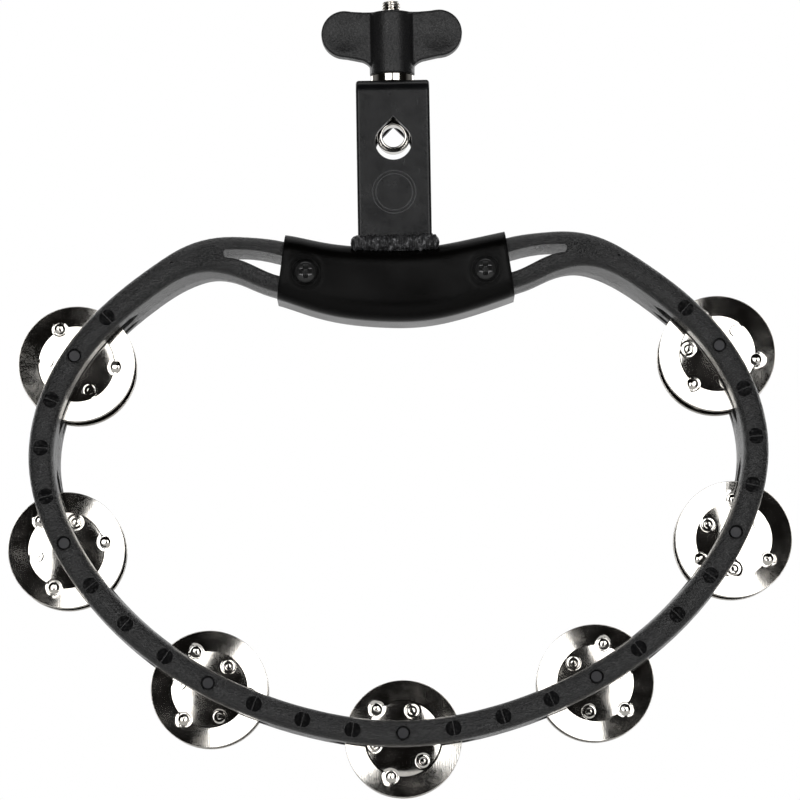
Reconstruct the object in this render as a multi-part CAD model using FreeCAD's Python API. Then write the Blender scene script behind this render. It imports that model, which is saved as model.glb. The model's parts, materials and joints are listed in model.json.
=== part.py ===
"""Clamp-on jingle ring for a drum kit: a kidney-shaped plastic frame with seven jingle stations, closed at
the top by a bent steel sleeve, and hung from a rod by a welded strap bracket, an eye bolt and a wing nut.

Frame of reference (millimetres): origin on the axis of the clamped rod, half way through the depth.
+X to the player's right, +Y to the rear (along the rod), +Z up.
"""
import FreeCAD, Part
import math
import os

from FreeCAD import Vector

# ---- Ring frame ----------------------------------------------------------------------------------
# Middle of the rail on the right-hand side, from the sleeve round to the bottom; the left side mirrors it.
TOP_MIDDLE = (0.0, -66.25)
INSIDE_SLEEVE = (25.0, -64.0)
SLEEVE_MOUTH = (49.2, -57.8)
ARM_POINTS = [(54.0, -56.5), (59.5, -54.9), (66.0, -53.4), (79.5, -52.7), (92.3, -57.0), (105.5, -65.2)]
UPPER_STATION = (138.0, -96.3)
SIDE_POINT = (152.8, -138.2)
SIDE_STATION = (143.1, -176.6)
LOWER_SIDE_POINT = (119.4, -209.3)
LOWER_STATION = (82.5, -237.1)
LOWER_POINT = (42.2, -253.4)
BOTTOM_STATION = (0.0, -259.65)

RAIL_WIDTH = 10.8          # across the rail at the crown, all round the jingle ring
ARM_EXTRA_WIDTH = 11.4     # how much wider the arm is where it enters the sleeve
ARM_WIDE_X = 53.0          # |X| where the arm is widest
ARM_NARROW_X = 101.0       # |X| where the arm has come down to the rail width
ARM_WIDTH_POWER = 1.35     # how quickly the arm widens
ARM_LOWEST_Z = -100.0      # everything below this is plain jingle ring
HALF_DEPTH = 24.0          # half the ring's depth in Y
ARM_HALF_DEPTH = 15.5      # half the arm's depth in Y at the sleeve
ARM_THIN_X = 66.0          # |X| where the arm starts to deepen
ARM_THICK_X = 98.0         # |X| where the arm is as deep as the ring
DRAFT = 0.7                # each flank is this much wider at the seam than at the crown
CROWN_RADIUS = 4.0
ARM_CROWN_RADIUS = 5.2
CROWN_RISE = 0.35          # the crown is slightly domed between its two edge radii
TONGUE_END_X = 25.0        # |X| where each arm ends inside the sleeve
SECTION_START = 11.0       # distance from the middle of the first cross-section, later trimmed away
SECTION_COUNT = 73         # cross-sections along the ring
WINDOW_TOP = [(46.0, -54.4), (53.3, -52.2), (64.2, -50.4), (72.2, -50.4)]
WINDOW_TIP = (74.1, -52.2)
WINDOW_BOTTOM = [(72.2, -54.0), (62.7, -56.7), (53.3, -61.2), (46.0, -62.8)]

# ---- Jingle stations -----------------------------------------------------------------------------
SLOT_FRONT = 13.2          # |Y| of the slot wall next to the crown
SLOT_BACK = 3.5            # |Y| of the slot wall next to the seam
SLOT_STRAIGHT = 54.0       # length of a slot at its full height
SLOT_LENGTH = 63.0         # length of a slot from tip to tip
PIN_RADIUS = 1.2
PIN_HOLE_RADIUS = 1.25
PIN_HEAD_RADIUS = 2.6
PIN_HEAD_THICKNESS = 1.1
PIN_HEAD_ROUNDING = 0.5
PIN_RECESS_RADIUS = 3.0
PIN_RECESS_DEPTH = 2.6     # depth of the round recess over each pin end, from the flat of the crown
MARK_RADIUS = 3.4          # round moulding marks on the crown, each with a thin rib across it
MARK_DEPTH = 0.35
MARK_RIB = 0.5             # width of the rib
MARK_OFFSET = 21.5         # distance of a mark from its station, along the rail
PEG_RADIUS = 2.4
PEG_LENGTH = 5.0
PEG_CLEARANCE = 0.06
PEG_ROOT = 1.0             # how far a peg reaches back into its own half
ARM_PEG = (101.0, -62.0)   # near the middle of the rail, where each arm carries a peg

# ---- Jingles -------------------------------------------------------------------------------------
JINGLE_RADIUS = 25.0
JINGLE_SHEET = 0.6
JINGLE_HOLE_RADIUS = 3.2
CUP_RADIUS = 16.3          # where the raised middle meets the turned-up brim
CUP_TOP_RADIUS = 4.2
CUP_HEIGHT = 1.5
CUP_SHOULDER = 1.12        # height of the cup half way up its slope
BRIM_HEIGHT = 0.8
PIP_RADIUS = 2.15
PIP_CIRCLE = 16.9
PIP_HEIGHT = 0.8
PAIR_GAP = 0.9             # between the two discs of a pair, at rest
PIP_ANGLES = (0, 120, 240)
FRONT_DISC_TURN = [115, 11, 109, 131, 77, 89, 110]   # how each front disc happens to have turned, in degrees
REAR_ROW_TURN = 47         # how much further the rear row has turned
SECOND_DISC_TURN = 31      # how much further the inner disc of a pair has turned
TURN_PER_STATION = 13      # and how that changes from station to station
HANG_GAP = 0.03            # left between pin and disc where the disc hangs on it
HANG = JINGLE_HOLE_RADIUS - PIN_RADIUS - HANG_GAP

# ---- Sleeve --------------------------------------------------------------------------------------
SLEEVE_END_HEIGHT = 28.3
SLEEVE_MIDDLE_HEIGHT = 32.3
SLEEVE_END_TILT = 8.0      # the mouths lean in at the top by this many degrees
SLEEVE_HALF_DEPTH = 18.0
SLEEVE_CORNER = 8.0
SLEEVE_WALL = 1.7
SLEEVE_SECTIONS = 9
SCREW_X = 38.7
SCREW_Z = -61.0
SCREW_DIMPLE_RADIUS = 6.0
SCREW_DIMPLE_DEPTH = 0.8
SCREW_HEAD_RADIUS = 4.9
SCREW_HEAD_HEIGHT = 2.8
SCREW_HEAD_ROUNDING = 1.7
SCREW_SHANK_RADIUS = 2.4
SCREW_SHANK_LENGTH = 23.0
SCREW_CLEARANCE = 0.2
CROSS_ARM = 5.6            # length of each arm of the driver recess, end to end
CROSS_WIDTH = 1.3
CROSS_DEPTH = 1.9
CROSS_TURN = 10            # how far each screw's recess happens to stand from upright, in degrees

# ---- Bracket and clamp ---------------------------------------------------------------------------
STRAP_WIDTH = 31.9
STRAP_THICKNESS = 3.0
STRAP_HALF_DEPTH = 15.0
STRAP_TOP = 23.4
STRAP_BOTTOM = -56.5       # trimmed to the sleeve
BEND_RADIUS = 5.4
STRAP_EDGE = 1.4           # rounding of the strap's long edges
ROD_HOLE_RADIUS = 7.9
ROD_HOLE_Z = -4.35         # centre of the round part of the teardrop
EMBLEM_RADIUS = 9.3        # plain pressed circle
EMBLEM_INNER_RADIUS = 7.95
EMBLEM_DEPTH = 0.4
EMBLEM_Z = -26.3
WELD_HALF_LENGTH = 19.3
WELD_RADIUS = 3.3
WELD_Z = -48.5
EYE_INNER_RADIUS = 4.85
EYE_OUTER_RADIUS = 7.05
EYE_HALF_WIDTH = 4.0
BOLT_RADIUS = 4.0
BOLT_TOP = 59.8
BOLT_TIP_CHAMFER = 0.7
BOLT_HOLE_RADIUS = 4.4
WASHER_RADIUS = 9.5
WASHER_THICKNESS = 3.7
WASHER_CHAMFER = 0.4
SEAT_GAP = 0.04            # running gap between the washer and the wing nut

# ---- Wing nut ------------------------------------------------------------------------------------
HUB_RADIUS = 9.8
HUB_TOP = 54.6
WING_LOBE = (20.4, 45.5)   # centre of the round lobe
WING_TIP_RADIUS = 10.3
WING_TOP_SAG = (0.4, -0.1)   # how far the top edge bows from straight between waist and lobe
WING_UNDERSIDE = 33.7      # height of the wing's lower edge beside the hub
WAIST_X = 12.4             # |X| of the waist between hub and lobe
WAIST_TOP = 55.0
FILLET_START_X = 13.2      # |X| where the fillet under the wing begins
FILLET_MIDDLE = (10.2, 31.9)
FILLET_END = (8.2, 28.3)
WING_HALF_THICKNESS = 3.6
DISH_RADIUS = 40.0         # sphere that dishes each wing face
DISH_DEPTH = 0.9
INSERT_RADIUS = 6.4
INSERT_LENGTH = 14.0
THREAD_CLEARANCE = 0.05
NUT_BORE_CLEARANCE = 0.2   # the plastic's own bore stands clear of the stud

OVERCUT = 2.0              # how far cutting shapes reach past the faces they cut
FLAT = 1e-6                # an extent below this counts as none


def mirrored(points):
    """The same points on the other side of the middle, in reverse order."""
    return [(-x, z) for x, z in reversed(points)]


def make_ring_path():
    """The closed curve along the middle of the sleeve and the rail, running down the right side first."""
    right = [INSIDE_SLEEVE, SLEEVE_MOUTH] + ARM_POINTS + [UPPER_STATION, SIDE_POINT, SIDE_STATION]
    right += [LOWER_SIDE_POINT, LOWER_STATION, LOWER_POINT]
    points = [TOP_MIDDLE] + right + [BOTTOM_STATION] + mirrored(right)
    curve = Part.BSplineCurve()
    curve.interpolate(Points=[Vector(x, 0, z) for x, z in points], PeriodicFlag=True)
    return curve


RING = make_ring_path()
STATIONS = mirrored([BOTTOM_STATION, LOWER_STATION, SIDE_STATION, UPPER_STATION])
STATIONS += [LOWER_STATION, SIDE_STATION, UPPER_STATION]


def ring_frame(parameter):
    """A point on the ring path, its direction, and the direction that points out of the ring."""
    at = RING.value(parameter)
    along = RING.tangent(parameter)[0]
    outward = Vector(-along.z, 0, along.x)
    return at, along, outward


def parameter_at(x, z):
    return RING.parameter(Vector(x, 0, z))


def moved_along(parameter, distance):
    """The ring parameter reached by going a signed distance along the ring."""
    length = RING.length(RING.FirstParameter, parameter) + distance
    return RING.parameterAtDistance(length % RING.length(), RING.FirstParameter)


def ease(value):
    """0 to 1 with a smooth start and end."""
    value = min(max(value, 0.0), 1.0)
    return value * value * (3.0 - 2.0 * value)


def rail_size(at):
    """Width across the crown, half depth and crown radius of the rail at a point on the path."""
    if at.z < ARM_LOWEST_Z:
        return RAIL_WIDTH, HALF_DEPTH, CROWN_RADIUS
    share = min(max((ARM_NARROW_X - abs(at.x)) / (ARM_NARROW_X - ARM_WIDE_X), 0.0), 1.0)
    width = RAIL_WIDTH + ARM_EXTRA_WIDTH * share ** ARM_WIDTH_POWER
    thick = ease((abs(at.x) - ARM_THIN_X) / (ARM_THICK_X - ARM_THIN_X))
    half_depth = ARM_HALF_DEPTH + (HALF_DEPTH - ARM_HALF_DEPTH) * thick
    radius = ARM_CROWN_RADIUS + (CROWN_RADIUS - ARM_CROWN_RADIUS) * thick
    return width, half_depth, radius


def rail_section(parameter):
    """Cross-section of the front half of the frame: flat at the seam, slightly domed at the crown."""
    at, _, outward = ring_frame(parameter)
    width, half_depth, radius = rail_size(at)
    half = width / 2.0
    corner = radius * (1.0 - math.sqrt(0.5))

    def point(across, depth):
        return at + outward * across + Vector(0, -depth, 0)

    def flank(side):
        start = point(side * (half + DRAFT), 0)
        end = point(side * half, half_depth - radius)
        return start, end

    outer_start, outer_end = flank(1)
    inner_start, inner_end = flank(-1)
    outer_top = point(half - radius, half_depth)
    inner_top = point(radius - half, half_depth)
    edges = [
        Part.makeLine(outer_start, outer_end),
        Part.Arc(outer_end, point(half - corner, half_depth - corner), outer_top).toShape(),
        Part.Arc(outer_top, point(0, half_depth + CROWN_RISE), inner_top).toShape(),
        Part.Arc(inner_top, point(corner - half, half_depth - corner), inner_end).toShape(),
        Part.makeLine(inner_end, inner_start),
        Part.makeLine(inner_start, outer_start),
    ]
    return Part.Wire(edges)


def ring_parameters():
    """Evenly spaced parameters from the sleeve's right half, down and round, to its left half."""
    step = (RING.length() - 2 * SECTION_START) / (SECTION_COUNT - 1)
    distances = [SECTION_START + i * step for i in range(SECTION_COUNT)]
    return [RING.parameterAtDistance(distance, RING.FirstParameter) for distance in distances]


def across_prism(outline, low_y, high_y):
    """A closed outline in the XZ plane, extruded from low_y to high_y."""
    face = Part.Face(outline)
    face.translate(Vector(0, low_y, 0))
    return face.extrude(Vector(0, high_y - low_y, 0))


def arm_window():
    """The long window between the upper and lower bars of the right-hand arm; it closes inside the sleeve."""
    upper = [Vector(x, 0, z) for x, z in WINDOW_TOP]
    lower = [Vector(x, 0, z) for x, z in WINDOW_BOTTOM]
    tip = Vector(WINDOW_TIP[0], 0, WINDOW_TIP[1])
    top_edge = Part.BSplineCurve()
    top_edge.interpolate(upper)
    bottom_edge = Part.BSplineCurve()
    bottom_edge.interpolate(lower)
    outline = Part.Wire([
        top_edge.toShape(),
        Part.Arc(upper[-1], tip, lower[0]).toShape(),
        bottom_edge.toShape(),
        Part.makeLine(lower[-1], upper[0]),
    ])
    return across_prism(outline, -HALF_DEPTH - OVERCUT, OVERCUT)


def jingle_slot(x, z):
    """The slot through both flanks at a station, pointed at both ends, in the front half."""
    at, along, outward = ring_frame(parameter_at(x, z))
    middle = (SLOT_FRONT + SLOT_BACK) / 2.0
    half_straight = SLOT_STRAIGHT / 2.0
    half_length = SLOT_LENGTH / 2.0
    corners = [
        (-half_length, middle),
        (-half_straight, SLOT_FRONT),
        (half_straight, SLOT_FRONT),
        (half_length, middle),
        (half_straight, SLOT_BACK),
        (-half_straight, SLOT_BACK),
    ]
    reach = 2.5 * RAIL_WIDTH
    points = [at - outward * (reach / 2.0) + along * t + Vector(0, -depth, 0) for t, depth in corners]
    return Part.Face(Part.makePolygon(points + points[:1])).extrude(outward * reach)


def round_cut(at, radius, low_y, high_y):
    """A cylinder along Y through a point; its seam is turned away from the ring's plane of symmetry."""
    cylinder = Part.makeCylinder(radius, high_y - low_y, Vector(at.x, low_y, at.z), Vector(0, 1, 0))
    cylinder.rotate(Vector(at.x, 0, at.z), Vector(0, 1, 0), 35)
    return cylinder


def moulding_mark(parameter):
    """A shallow round sink in the crown with a thin rib left standing across it."""
    at, _, outward = ring_frame(parameter)
    sink = round_cut(at, MARK_RADIUS, -HALF_DEPTH - OVERCUT, -HALF_DEPTH + MARK_DEPTH)
    reach = 4 * MARK_RADIUS
    rib = Part.makeBox(reach, reach, MARK_RIB, Vector(-reach / 2, -reach / 2, -MARK_RIB / 2))
    rib.rotate(Vector(0, 0, 0), Vector(0, 1, 0), -math.degrees(math.atan2(outward.z, outward.x)))
    rib.translate(Vector(at.x, -HALF_DEPTH, at.z))
    return sink.cut(rib)


def mark_parameters():
    """Marks on both sides of every station, and one half way between neighbouring stations."""
    at_stations = [parameter_at(x, z) for x, z in STATIONS]
    found = [moved_along(p, side * MARK_OFFSET) for p in at_stations for side in (-1, 1)]
    return found + between_stations()


def between_stations():
    """Ring parameters half way between neighbouring stations, where the rail is solid."""
    lengths = [RING.length(RING.FirstParameter, parameter_at(x, z)) for x, z in STATIONS]
    pairs = zip(lengths, lengths[1:])
    return [RING.parameterAtDistance((a + b) / 2.0, RING.FirstParameter) for a, b in pairs]


def frame_half():
    """The front half of the frame, before its locating pegs or sockets."""
    half = Part.makeLoft([rail_section(p) for p in ring_parameters()], True, False)
    low_corner = Vector(-TONGUE_END_X, -2 * HALF_DEPTH, ARM_LOWEST_Z)
    half = half.cut(Part.makeBox(2 * TONGUE_END_X, 4 * HALF_DEPTH, -ARM_LOWEST_Z, low_corner))
    window = arm_window()
    half = half.cut([window, window.mirror(Vector(0, 0, 0), Vector(1, 0, 0))])
    half = half.cut([jingle_slot(x, z) for x, z in STATIONS])
    cuts = []
    for x, z in STATIONS:
        at = Vector(x, 0, z)
        cuts.append(round_cut(at, PIN_HOLE_RADIUS, -HALF_DEPTH, OVERCUT))
        cuts.append(round_cut(at, PIN_RECESS_RADIUS, -HALF_DEPTH - OVERCUT, -HALF_DEPTH + PIN_RECESS_DEPTH))
    for side in (-1, 1):
        screw_hole = round_cut(Vector(side * SCREW_X, 0, SCREW_Z), SCREW_SHANK_RADIUS, -HALF_DEPTH, OVERCUT)
        cuts.append(screw_hole)
    cuts += [moulding_mark(p) for p in mark_parameters()]
    return half.cut(cuts)


def peg_places():
    """Solid stretches of the rail that carry a locating peg: between stations, and in both arms."""
    arms = [parameter_at(side * ARM_PEG[0], ARM_PEG[1]) for side in (-1, 1)]
    return [RING.value(p) for p in between_stations() + arms]


def make_frame_halves():
    half = frame_half()
    rear = half.mirror(Vector(0, 0, 0), Vector(0, 1, 0))
    pegs = [round_cut(at, PEG_RADIUS, -PEG_ROOT, PEG_LENGTH) for at in peg_places()]
    front = half.fuse(pegs)
    socket_depth = PEG_LENGTH + 10 * PEG_CLEARANCE
    sockets = [round_cut(at, PEG_RADIUS + PEG_CLEARANCE, -OVERCUT, socket_depth) for at in peg_places()]
    return front, rear.cut(sockets)


def sleeve_section(parameter, inset):
    """Rounded rectangle across the sleeve, taken in from the outside by inset."""
    at = RING.value(parameter)
    reach = at.x / SLEEVE_MOUTH[0]
    tilt = math.radians(SLEEVE_END_TILT * reach)
    outward = Vector(-math.sin(tilt), 0, math.cos(tilt))
    height = SLEEVE_MIDDLE_HEIGHT + (SLEEVE_END_HEIGHT - SLEEVE_MIDDLE_HEIGHT) * reach * reach
    half_height = height / 2.0 - inset
    half_depth = SLEEVE_HALF_DEPTH - inset
    radius = SLEEVE_CORNER - inset
    corner = radius * (1.0 - math.sqrt(0.5))

    def point(across, depth):
        return at + outward * across + Vector(0, depth, 0)

    corners = []
    for a, d in [(1, -1), (1, 1), (-1, 1), (-1, -1)]:
        on_face = point(a * (half_height - radius), d * half_depth)
        on_flank = point(a * half_height, d * (half_depth - radius))
        middle = point(a * (half_height - corner), d * (half_depth - corner))
        corners.append((on_face, middle, on_flank) if a * d < 0 else (on_flank, middle, on_face))
    edges = []
    for here, following in zip(corners, corners[1:] + corners[:1]):
        edges.append(Part.Arc(*here).toShape())
        edges.append(Part.makeLine(here[2], following[0]))
    return Part.Wire(edges)


def sleeve_solid(inset, overrun):
    """The bent tube's outside (inset 0) or inside, run past its mouths by overrun."""
    reach = RING.length(RING.FirstParameter, parameter_at(*SLEEVE_MOUTH)) + overrun
    step = 2.0 * reach / (SLEEVE_SECTIONS - 1)
    places = [moved_along(RING.FirstParameter, i * step - reach) for i in range(SLEEVE_SECTIONS)]
    return Part.makeLoft([sleeve_section(p, inset) for p in places], True, False)


def make_sleeve():
    """The bent steel tube, with a sunk seat and a hole for each frame screw."""
    tube = sleeve_solid(0, 0).cut(sleeve_solid(SLEEVE_WALL, OVERCUT))
    for side in (-1, 1):
        at = Vector(side * SCREW_X, 0, SCREW_Z)
        seat_y = SCREW_DIMPLE_DEPTH - SLEEVE_HALF_DEPTH
        tube = tube.cut(round_cut(at, SCREW_DIMPLE_RADIUS, -SLEEVE_HALF_DEPTH - OVERCUT, seat_y))
        tube = tube.cut(round_cut(at, SCREW_SHANK_RADIUS + SCREW_CLEARANCE, -SLEEVE_HALF_DEPTH, 0))
    return tube


def make_screws():
    """Two self-tapping pan-head screws with a cross recess."""
    seat = SCREW_DIMPLE_DEPTH - SLEEVE_HALF_DEPTH
    screws = []
    for side in (-1, 1):
        at = Vector(side * SCREW_X, seat, SCREW_Z)
        head = Part.makeCylinder(SCREW_HEAD_RADIUS, SCREW_HEAD_HEIGHT, at, Vector(0, -1, 0))
        head = head.makeFillet(SCREW_HEAD_ROUNDING, [outer_rim(head, seat - SCREW_HEAD_HEIGHT)])
        shank = Part.makeCylinder(SCREW_SHANK_RADIUS, SCREW_SHANK_LENGTH, at, Vector(0, 1, 0))
        screw = head.fuse(shank)
        for turn in (0, 90):
            corner = Vector(-CROSS_ARM / 2, 0, -CROSS_WIDTH / 2)
            arm = Part.makeBox(CROSS_ARM, CROSS_DEPTH, CROSS_WIDTH, corner)
            arm.rotate(Vector(0, 0, 0), Vector(0, 1, 0), turn + CROSS_TURN * side)
            arm.translate(at - Vector(0, SCREW_HEAD_HEIGHT, 0))
            screw = screw.cut(arm)
        screws.append(screw)
    return Part.makeCompound(screws)


def outer_rim(solid, y):
    """The circular edge of a turned solid at height y along its axis."""
    circles = [e for e in solid.Edges if e.Closed and e.BoundBox.YLength < FLAT]
    return [e for e in circles if abs(e.BoundBox.YMin - y) < FLAT][0]


def teardrop():
    """Rod hole through both legs: a circle that runs up into a right-angled vee for rods of any size."""
    side = ROD_HOLE_RADIUS * math.sqrt(0.5)
    right = Vector(side, 0, ROD_HOLE_Z + side)
    left = Vector(-side, 0, ROD_HOLE_Z + side)
    apex = Vector(0, 0, ROD_HOLE_Z + 2 * side)
    outline = Part.Wire([
        Part.makeLine(apex, right),
        Part.Arc(right, Vector(0, 0, ROD_HOLE_Z - ROD_HOLE_RADIUS), left).toShape(),
        Part.makeLine(left, apex),
    ])
    return across_prism(outline, -STRAP_HALF_DEPTH - OVERCUT, STRAP_HALF_DEPTH + OVERCUT)


def strap_outline(inset):
    """Inverted U in the YZ plane, as a list of edges from the front foot over the top to the rear foot."""
    y = STRAP_HALF_DEPTH - inset
    top = STRAP_TOP - inset
    radius = BEND_RADIUS - inset
    corner = radius * (1.0 - math.sqrt(0.5))
    bends = []
    for side in (-1, 1):
        leg = Vector(0, side * y, top - radius)
        middle = Vector(0, side * (y - corner), top - corner)
        plate = Vector(0, side * (y - radius), top)
        bends.append((leg, middle, plate))
    front, rear = bends
    return [
        Part.makeLine(Vector(0, -y, STRAP_BOTTOM), front[0]),
        Part.Arc(*front).toShape(),
        Part.makeLine(front[2], rear[2]),
        Part.Arc(rear[2], rear[1], rear[0]).toShape(),
        Part.makeLine(rear[0], Vector(0, y, STRAP_BOTTOM)),
    ]


def make_bracket():
    """Steel strap bent into an inverted U over the eye bolt, trimmed to sit on the sleeve."""
    inner_foot = STRAP_HALF_DEPTH - STRAP_THICKNESS
    feet = [
        Part.makeLine(Vector(0, s * STRAP_HALF_DEPTH, STRAP_BOTTOM), Vector(0, s * inner_foot, STRAP_BOTTOM))
        for s in (-1, 1)
    ]
    edges = strap_outline(0) + strap_outline(STRAP_THICKNESS) + feet
    outline = Part.Wire(Part.__sortEdges__(edges))
    face = Part.Face(outline)
    face.translate(Vector(-STRAP_WIDTH / 2, 0, 0))
    strap = face.extrude(Vector(STRAP_WIDTH, 0, 0))
    above_feet = [e for e in strap.Edges if e.BoundBox.ZMax > STRAP_BOTTOM + FLAT]
    side_edges = [e for e in above_feet if e.BoundBox.XLength < FLAT]
    strap = strap.makeFillet(STRAP_EDGE, side_edges)
    strap = strap.cut(sleeve_solid(0, 0))
    strap = strap.cut(teardrop())
    strap = strap.cut(bolt_clearance(STRAP_TOP - STRAP_THICKNESS - OVERCUT, STRAP_TOP + OVERCUT))
    centre = Vector(0, 0, EMBLEM_Z)
    front = -STRAP_HALF_DEPTH
    ring = round_cut(centre, EMBLEM_RADIUS, front - OVERCUT, front + EMBLEM_DEPTH)
    ring = ring.cut(round_cut(centre, EMBLEM_INNER_RADIUS, front - OVERCUT, front + OVERCUT))
    return strap.cut(ring)


def bolt_clearance(low_z, high_z):
    """The clearance hole for the bolt, between two heights."""
    return Part.makeCylinder(BOLT_HOLE_RADIUS, high_z - low_z, Vector(0, 0, low_z))


def make_weld_beads(bracket):
    """A fillet bead along the outside of each leg, where it stands on the sleeve."""
    sleeve = sleeve_solid(0, 0)
    beads = []
    length = 2 * (WELD_HALF_LENGTH - WELD_RADIUS)
    inner_y = STRAP_HALF_DEPTH - STRAP_THICKNESS / 2
    for side in (-1, 1):
        start = Vector(-length / 2, side * STRAP_HALF_DEPTH, WELD_Z)
        bead = Part.makeCylinder(WELD_RADIUS, length, start, Vector(1, 0, 0))
        for end in (start, start + Vector(length, 0, 0)):
            bead = bead.fuse(Part.makeSphere(WELD_RADIUS, end))
        low_corner = Vector(-STRAP_WIDTH, -inner_y, 2 * WELD_Z)
        inside = Part.makeBox(2 * STRAP_WIDTH, 2 * inner_y, -2 * WELD_Z, low_corner)
        beads.append(bead.cut([inside, bracket, sleeve]))
    return Part.makeCompound([solid for bead in beads for solid in bead.Solids])


def make_eye_bolt():
    """Bolt with a flat-sided eye; its axis and the rod's cross at the origin."""
    axis = Vector(0, 1, 0)
    eye = Part.makeCylinder(EYE_OUTER_RADIUS, 2 * EYE_HALF_WIDTH, Vector(0, -EYE_HALF_WIDTH, 0), axis)
    shank = Part.makeCylinder(BOLT_RADIUS, BOLT_TOP - EYE_INNER_RADIUS, Vector(0, 0, EYE_INNER_RADIUS))
    tip = [e for e in shank.Edges if e.Closed and abs(e.BoundBox.ZMin - BOLT_TOP) < FLAT][0]
    shank = shank.makeChamfer(BOLT_TIP_CHAMFER, [tip])
    hole = Part.makeCylinder(EYE_INNER_RADIUS, 4 * EYE_HALF_WIDTH, Vector(0, -2 * EYE_HALF_WIDTH, 0), axis)
    return eye.fuse(shank).cut(hole).removeSplitter()


def make_washer():
    """Thick turned washer under the wing nut, with broken edges."""
    disc = Part.makeCylinder(WASHER_RADIUS, WASHER_THICKNESS, Vector(0, 0, STRAP_TOP))
    rims = [e for e in disc.Edges if e.Closed and e.BoundBox.ZLength < FLAT]
    disc = disc.makeChamfer(WASHER_CHAMFER, rims)
    return disc.cut(bolt_clearance(STRAP_TOP - OVERCUT, STRAP_TOP + WASHER_THICKNESS + OVERCUT))


def nut_seat():
    return STRAP_TOP + WASHER_THICKNESS + SEAT_GAP


def make_nut_insert():
    """Threaded hexagonal steel core moulded into the wing nut; the thread itself is left as a plain bore."""
    turns = [math.radians(angle) for angle in range(0, 360, 60)]
    corners = [Vector(INSERT_RADIUS * math.cos(turn), INSERT_RADIUS * math.sin(turn), 0) for turn in turns]
    core = Part.Face(Part.makePolygon(corners + corners[:1])).extrude(Vector(0, 0, INSERT_LENGTH))
    core.translate(Vector(0, 0, nut_seat()))
    start = Vector(0, 0, nut_seat() - OVERCUT)
    return core.cut(Part.makeCylinder(BOLT_RADIUS + THREAD_CLEARANCE, 2 * INSERT_LENGTH, start))


def wing_outline():
    """One wing: a round lobe that narrows to a waist at the hub, with a fillet underneath."""
    lobe_top = Vector(WING_LOBE[0], 0, WING_LOBE[1] + WING_TIP_RADIUS)
    lobe_tip = Vector(WING_LOBE[0] + WING_TIP_RADIUS, 0, WING_LOBE[1])
    lobe_under = Vector(WING_LOBE[0], 0, WING_LOBE[1] - WING_TIP_RADIUS)
    waist_top = Vector(WAIST_X, 0, WAIST_TOP)
    waist_under = Vector(FILLET_START_X, 0, WING_UNDERSIDE)
    fillet_middle = Vector(FILLET_MIDDLE[0], 0, FILLET_MIDDLE[1])
    fillet_end = Vector(FILLET_END[0], 0, FILLET_END[1])
    inside_top = Vector(HUB_RADIUS / 2, 0, WAIST_TOP)
    inside_low = Vector(HUB_RADIUS / 2, 0, FILLET_END[1])
    top_middle = (waist_top + lobe_top) / 2 + Vector(WING_TOP_SAG[0], 0, WING_TOP_SAG[1])
    return Part.Wire([
        Part.makeLine(inside_top, waist_top),
        Part.Arc(waist_top, top_middle, lobe_top).toShape(),
        Part.Arc(lobe_top, lobe_tip, lobe_under).toShape(),
        Part.makeLine(lobe_under, waist_under),
        Part.Arc(waist_under, fillet_middle, fillet_end).toShape(),
        Part.makeLine(fillet_end, inside_low),
        Part.makeLine(inside_low, inside_top),
    ])


def make_wing_nut(insert):
    """Plastic wing nut moulded round its steel core: a round hub with two wings, dished on both faces."""
    wing = across_prism(wing_outline(), -WING_HALF_THICKNESS, WING_HALF_THICKNESS)
    away = WING_HALF_THICKNESS + DISH_RADIUS - DISH_DEPTH
    for face in (-1, 1):
        wing = wing.cut(Part.makeSphere(DISH_RADIUS, Vector(WING_LOBE[0], face * away, WING_LOBE[1])))
    hub = Part.makeCylinder(HUB_RADIUS, HUB_TOP - nut_seat(), Vector(0, 0, nut_seat()))
    nut = hub.fuse([wing, wing.mirror(Vector(0, 0, 0), Vector(1, 0, 0))]).removeSplitter()
    bore_start = Vector(0, 0, nut_seat() - OVERCUT)
    nut = nut.cut(Part.makeCylinder(BOLT_RADIUS + NUT_BORE_CLEARANCE, BOLT_TOP, bore_start))
    return nut.cut(insert)


def jingle_blank():
    """A pressed disc about the Y axis: raised middle towards -Y, turned-up brim, three round pips."""
    def surface(lift):
        return [
            Vector(JINGLE_HOLE_RADIUS, -CUP_HEIGHT - lift, 0),
            Vector(CUP_TOP_RADIUS, -CUP_HEIGHT - lift, 0),
            Vector((CUP_TOP_RADIUS + CUP_RADIUS) / 2, -CUP_SHOULDER - lift, 0),
            Vector(CUP_RADIUS, -lift, 0),
            Vector(JINGLE_RADIUS, -BRIM_HEIGHT - lift, 0),
        ]

    low, high = surface(0), surface(JINGLE_SHEET)
    profile = Part.Wire([
        Part.makeLine(low[0], low[1]),
        Part.Arc(low[1], low[2], low[3]).toShape(),
        Part.makeLine(low[3], low[4]),
        Part.makeLine(low[4], high[4]),
        Part.makeLine(high[4], high[3]),
        Part.Arc(high[3], high[2], high[1]).toShape(),
        Part.makeLine(high[1], high[0]),
        Part.makeLine(high[0], low[0]),
    ])
    disc = Part.Face(profile).revolve(Vector(0, 0, 0), Vector(0, 1, 0), 360)
    ball = (PIP_RADIUS ** 2 + PIP_HEIGHT ** 2) / (2 * PIP_HEIGHT)
    top = JINGLE_SHEET + PIP_HEIGHT
    for angle in [math.radians(turn) for turn in PIP_ANGLES]:
        at = Vector(PIP_CIRCLE * math.cos(angle), 0, PIP_CIRCLE * math.sin(angle))
        pip = Part.makeSphere(ball, at + Vector(0, ball - top, 0))
        pip = pip.common(round_cut(at, 2 * PIP_RADIUS, -top - OVERCUT, -JINGLE_SHEET / 2))
        disc = disc.fuse(pip)
    return disc


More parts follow.
